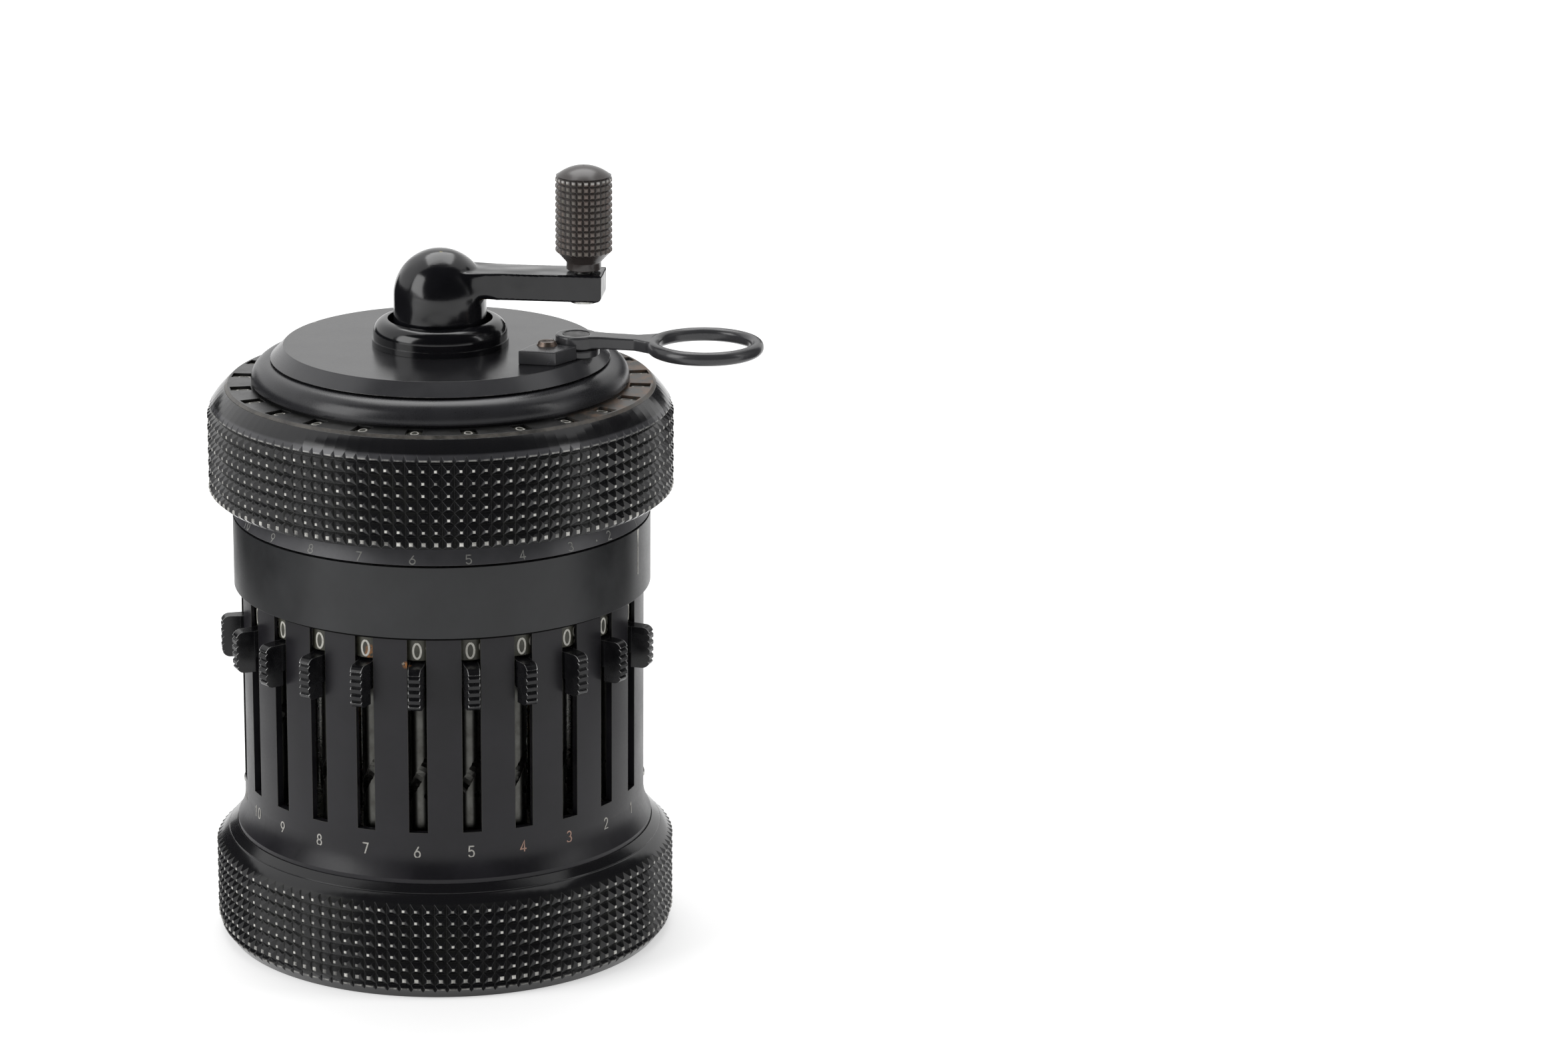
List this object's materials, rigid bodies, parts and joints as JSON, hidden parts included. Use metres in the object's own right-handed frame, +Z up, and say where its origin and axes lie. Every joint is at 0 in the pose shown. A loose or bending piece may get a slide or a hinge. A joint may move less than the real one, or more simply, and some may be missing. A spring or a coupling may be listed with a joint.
{
  "type": "hand-held mechanical calculator",
  "caption": "Cylindrical hand-cranked calculator with slotted tube, setting sliders, stepped drum, numeral carriage and folding clearing ring.",
  "frame": {"origin": "on the main axis, in the plane that the base stands on", "axes": "+Z up along the main axis; -Y through the middle of slots 5 and 6, the front; the crank's arm and the finger ring point roughly to +X"},
  "size_m": [0.0768, 0.065, 0.1109],
  "materials": {
    "black_enamel": "satin black finish, worn at the edges",
    "tube_enamel": "matte black finish",
    "dial_enamel": "matte black with pale figures",
    "cover_metal": "dark grey, patinated in places",
    "steel": "turned and polished",
    "brass": "machined",
    "knob_plastic": "polished black, studded"
  },
  "bodies": {
    "housing": {"base_ring": "black_enamel", "base_plate": "black_enamel", "base_screws": "steel", "body_tube": "tube_enamel", "tube_screws": "steel", "upper_collar": "tube_enamel", "lower_plate": "steel", "upper_plate": "steel", "frame_pillars": "steel", "lower_bush": "brass", "center_column": "steel", "column_nut": "brass", "transmission_shafts": "steel", "counter_shafts": "steel", "carry_pins": "steel", "carriage_spring": "steel"},
    "crank_sleeve": {"lift_sleeve": "brass"},
    "drive": {"main_shaft": "steel", "stepped_drum": "brass", "crank": "black_enamel", "crank_pin": "steel", "knob_axle": "steel"},
    "knob": {"crank_knob": "knob_plastic"},
    "carriage_lifter": {"carriage_sleeve": "brass"},
    "carriage": {"carriage_ring": "black_enamel", "number_band": "tube_enamel", "carriage_frame": "steel", "dial_cover": "cover_metal", "result_dials": "dial_enamel", "counter_dials": "dial_enamel", "carriage_shafts": "steel", "top_flange": "black_enamel"},
    "clearing_disc": {"clearing_plate": "black_enamel", "center_boss": "black_enamel", "lever_bracket": "black_enamel", "lever_screws": "steel"},
    "finger_lever": {"clearing_lever": "black_enamel"},
    "reverser": {"reversing_lever": "black_enamel"},
    "setter_1": {"slider_1": "black_enamel"},
    "helix_1": {"setting_shaft_1": "steel"},
    "setter_2": {"slider_2": "black_enamel"},
    "helix_2": {"setting_shaft_2": "steel"},
    "setter_3": {"slider_3": "black_enamel"},
    "helix_3": {"setting_shaft_3": "steel"},
    "setter_4": {"slider_4": "black_enamel"},
    "helix_4": {"setting_shaft_4": "steel"},
    "setter_5": {"slider_5": "black_enamel"},
    "helix_5": {"setting_shaft_5": "steel"},
    "setter_6": {"slider_6": "black_enamel"},
    "helix_6": {"setting_shaft_6": "steel"},
    "setter_7": {"slider_7": "black_enamel"},
    "helix_7": {"setting_shaft_7": "steel"},
    "setter_8": {"slider_8": "black_enamel"},
    "helix_8": {"setting_shaft_8": "steel"},
    "setter_9": {"slider_9": "black_enamel"},
    "helix_9": {"setting_shaft_9": "steel"},
    "setter_10": {"slider_10": "black_enamel"},
    "helix_10": {"setting_shaft_10": "steel"},
    "setter_11": {"slider_11": "black_enamel"},
    "helix_11": {"setting_shaft_11": "steel"}
  },
  "joints": [
    {"name": "crank_lift", "type": "slide", "parent": "housing", "child": "crank_sleeve", "axis": [0, 0, 1], "range_m": [0, 0.003]},
    {"name": "crank_turn", "type": "hinge", "parent": "crank_sleeve", "child": "drive", "pos_m": [0, 0, 0.09], "axis": [0, 0, -1], "continuous": true},
    {"name": "knob_spin", "type": "hinge", "parent": "drive", "child": "knob", "pos_m": [0.01986, -0.00311, 0.1], "axis": [0, 0, 1], "continuous": true},
    {"name": "carriage_lift", "type": "slide", "parent": "housing", "child": "carriage_lifter", "axis": [0, 0, 1], "range_m": [0, 0.0032], "stiffness_N_per_m": 400, "springref_m": -0.005, "deforming": ["carriage_spring"]},
    {"name": "carriage_turn", "type": "hinge", "parent": "carriage_lifter", "child": "carriage", "pos_m": [0, 0, 0.07], "axis": [0, 0, 1], "range_deg": [0, 105]},
    {"name": "clearing_turn", "type": "hinge", "parent": "carriage", "child": "clearing_disc", "pos_m": [0, 0, 0.084], "axis": [0, 0, 1], "continuous": true},
    {"name": "finger_lever_fold", "type": "hinge", "parent": "clearing_disc", "child": "finger_lever", "pos_m": [0.0187, -0.007, 0.0872], "axis": [0, 0, 1], "range_deg": [0, 112]},
    {"name": "reverser_slide", "type": "slide", "parent": "housing", "child": "reverser", "axis": [0, 0, -1], "range_m": [0, 0.005]},
    {"name": "slider_1_set", "type": "slide", "parent": "housing", "child": "setter_1", "axis": [0, 0, -1], "range_m": [0, 0.018]},
    {"name": "shaft_1_turn", "type": "hinge", "parent": "housing", "child": "helix_1", "pos_m": [0.02287, -0.00947, 0.04], "axis": [0, 0, 1], "range_deg": [0, 324]},
    {"name": "slider_2_set", "type": "slide", "parent": "housing", "child": "setter_2", "axis": [0, 0, -1], "range_m": [0, 0.018]},
    {"name": "shaft_2_turn", "type": "hinge", "parent": "housing", "child": "helix_2", "pos_m": [0.01964, -0.01507, 0.04], "axis": [0, 0, 1], "range_deg": [0, 324]},
    {"name": "slider_3_set", "type": "slide", "parent": "housing", "child": "setter_3", "axis": [0, 0, -1], "range_m": [0, 0.018]},
    {"name": "shaft_3_turn", "type": "hinge", "parent": "housing", "child": "helix_3", "pos_m": [0.01507, -0.01964, 0.04], "axis": [0, 0, 1], "range_deg": [0, 324]},
    {"name": "slider_4_set", "type": "slide", "parent": "housing", "child": "setter_4", "axis": [0, 0, -1], "range_m": [0, 0.018]},
    {"name": "shaft_4_turn", "type": "hinge", "parent": "housing", "child": "helix_4", "pos_m": [0.00947, -0.02287, 0.04], "axis": [0, 0, 1], "range_deg": [0, 324]},
    {"name": "slider_5_set", "type": "slide", "parent": "housing", "child": "setter_5", "axis": [0, 0, -1], "range_m": [0, 0.018]},
    {"name": "shaft_5_turn", "type": "hinge", "parent": "housing", "child": "helix_5", "pos_m": [0.00323, -0.02454, 0.04], "axis": [0, 0, 1], "range_deg": [0, 324]},
    {"name": "slider_6_set", "type": "slide", "parent": "housing", "child": "setter_6", "axis": [0, 0, -1], "range_m": [0, 0.018]},
    {"name": "shaft_6_turn", "type": "hinge", "parent": "housing", "child": "helix_6", "pos_m": [-0.00323, -0.02454, 0.04], "axis": [0, 0, 1], "range_deg": [0, 324]},
    {"name": "slider_7_set", "type": "slide", "parent": "housing", "child": "setter_7", "axis": [0, 0, -1], "range_m": [0, 0.018]},
    {"name": "shaft_7_turn", "type": "hinge", "parent": "housing", "child": "helix_7", "pos_m": [-0.00947, -0.02287, 0.04], "axis": [0, 0, 1], "range_deg": [0, 324]},
    {"name": "slider_8_set", "type": "slide", "parent": "housing", "child": "setter_8", "axis": [0, 0, -1], "range_m": [0, 0.018]},
    {"name": "shaft_8_turn", "type": "hinge", "parent": "housing", "child": "helix_8", "pos_m": [-0.01507, -0.01964, 0.04], "axis": [0, 0, 1], "range_deg": [0, 324]},
    {"name": "slider_9_set", "type": "slide", "parent": "housing", "child": "setter_9", "axis": [0, 0, -1], "range_m": [0, 0.018]},
    {"name": "shaft_9_turn", "type": "hinge", "parent": "housing", "child": "helix_9", "pos_m": [-0.01964, -0.01507, 0.04], "axis": [0, 0, 1], "range_deg": [0, 324]},
    {"name": "slider_10_set", "type": "slide", "parent": "housing", "child": "setter_10", "axis": [0, 0, -1], "range_m": [0, 0.018]},
    {"name": "shaft_10_turn", "type": "hinge", "parent": "housing", "child": "helix_10", "pos_m": [-0.02287, -0.00947, 0.04], "axis": [0, 0, 1], "range_deg": [0, 324]},
    {"name": "slider_11_set", "type": "slide", "parent": "housing", "child": "setter_11", "axis": [0, 0, -1], "range_m": [0, 0.018]},
    {"name": "shaft_11_turn", "type": "hinge", "parent": "housing", "child": "helix_11", "pos_m": [-0.02454, -0.00323, 0.04], "axis": [0, 0, 1], "range_deg": [0, 324]}
  ],
  "couplings": [
    {"joint": "shaft_1_turn", "follows": "slider_1_set", "rad_per_m": 314.16},
    {"joint": "shaft_2_turn", "follows": "slider_2_set", "rad_per_m": 314.16},
    {"joint": "shaft_3_turn", "follows": "slider_3_set", "rad_per_m": 314.16},
    {"joint": "shaft_4_turn", "follows": "slider_4_set", "rad_per_m": 314.16},
    {"joint": "shaft_5_turn", "follows": "slider_5_set", "rad_per_m": 314.16},
    {"joint": "shaft_6_turn", "follows": "slider_6_set", "rad_per_m": 314.16},
    {"joint": "shaft_7_turn", "follows": "slider_7_set", "rad_per_m": 314.16},
    {"joint": "shaft_8_turn", "follows": "slider_8_set", "rad_per_m": 314.16},
    {"joint": "shaft_9_turn", "follows": "slider_9_set", "rad_per_m": 314.16},
    {"joint": "shaft_10_turn", "follows": "slider_10_set", "rad_per_m": 314.16},
    {"joint": "shaft_11_turn", "follows": "slider_11_set", "rad_per_m": 314.16}
  ]
}
